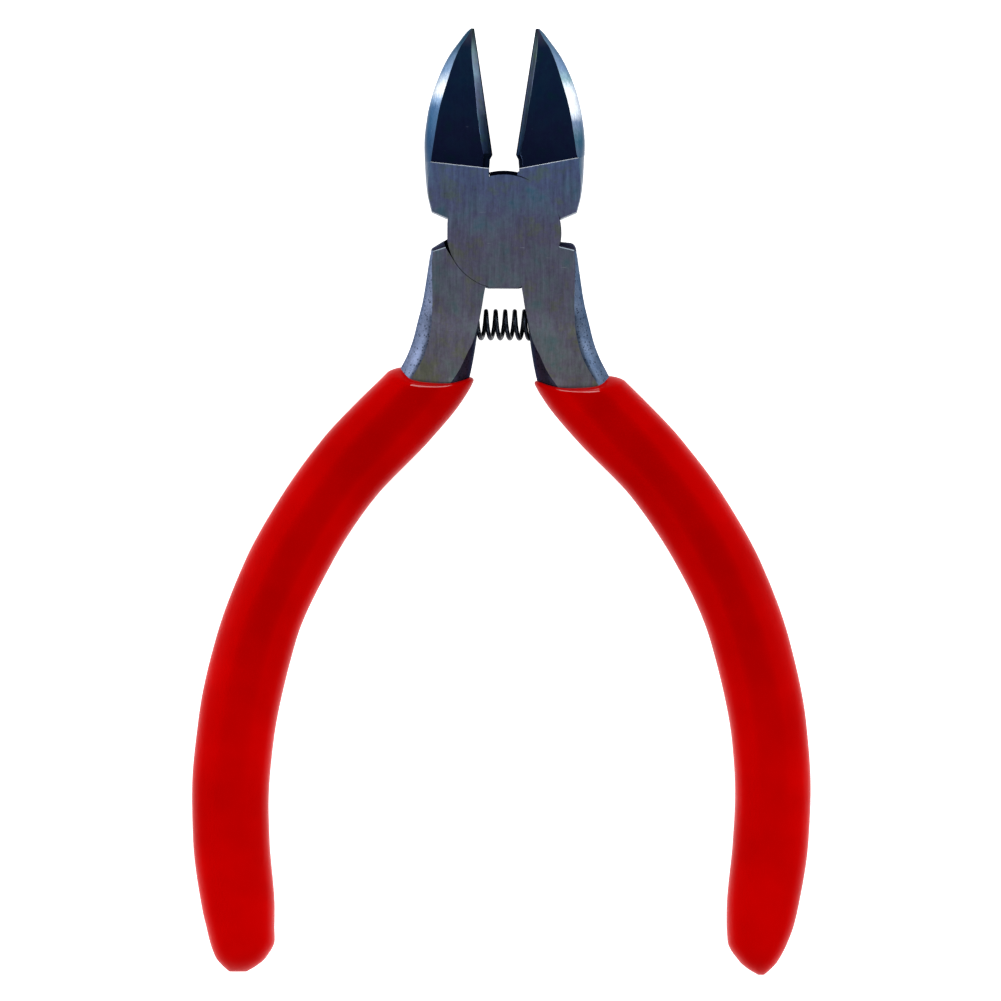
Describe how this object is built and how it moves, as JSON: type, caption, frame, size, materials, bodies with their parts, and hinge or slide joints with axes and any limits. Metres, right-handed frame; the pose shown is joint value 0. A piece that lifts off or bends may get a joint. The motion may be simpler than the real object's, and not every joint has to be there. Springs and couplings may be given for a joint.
{
  "type": "diagonal cutting pliers",
  "caption": "Small spring-loaded diagonal cutting pliers with a riveted lap joint, bare steel jaws and thick dipped vinyl grips, shown open.",
  "frame": {"origin": "on the pivot axis, at the back face of the joint, which is the face the pliers lie on", "axes": "+Z along the pivot axis from the back face to the front face, +Y from the pivot to the jaw tips, +X to the right seen from the front"},
  "size_m": [0.0802, 0.1228, 0.009],
  "materials": {
    "lever_steel": "finely ground carbon steel, lightly oiled, darker in the milled jaw facets",
    "rivet_steel": "ground flush with the lever faces",
    "spring_wire": "black oiled spring wire",
    "grip_vinyl": "thick glossy dipped vinyl, saturated red"
  },
  "bodies": {
    "front_half": {"front_lever": "lever_steel", "pivot_rivet": "rivet_steel", "return_spring": "spring_wire", "right_grip": "grip_vinyl"},
    "back_half": {"back_lever": "lever_steel", "left_grip": "grip_vinyl"}
  },
  "joints": [
    {"name": "handle_pivot", "type": "hinge", "parent": "front_half", "child": "back_half", "pos_m": [0, 0, 0.0045], "axis": [0, 0, 1], "range_deg": [-8, 17], "stiffness_Nm_per_rad": 1, "deforming": ["return_spring"]}
  ]
}
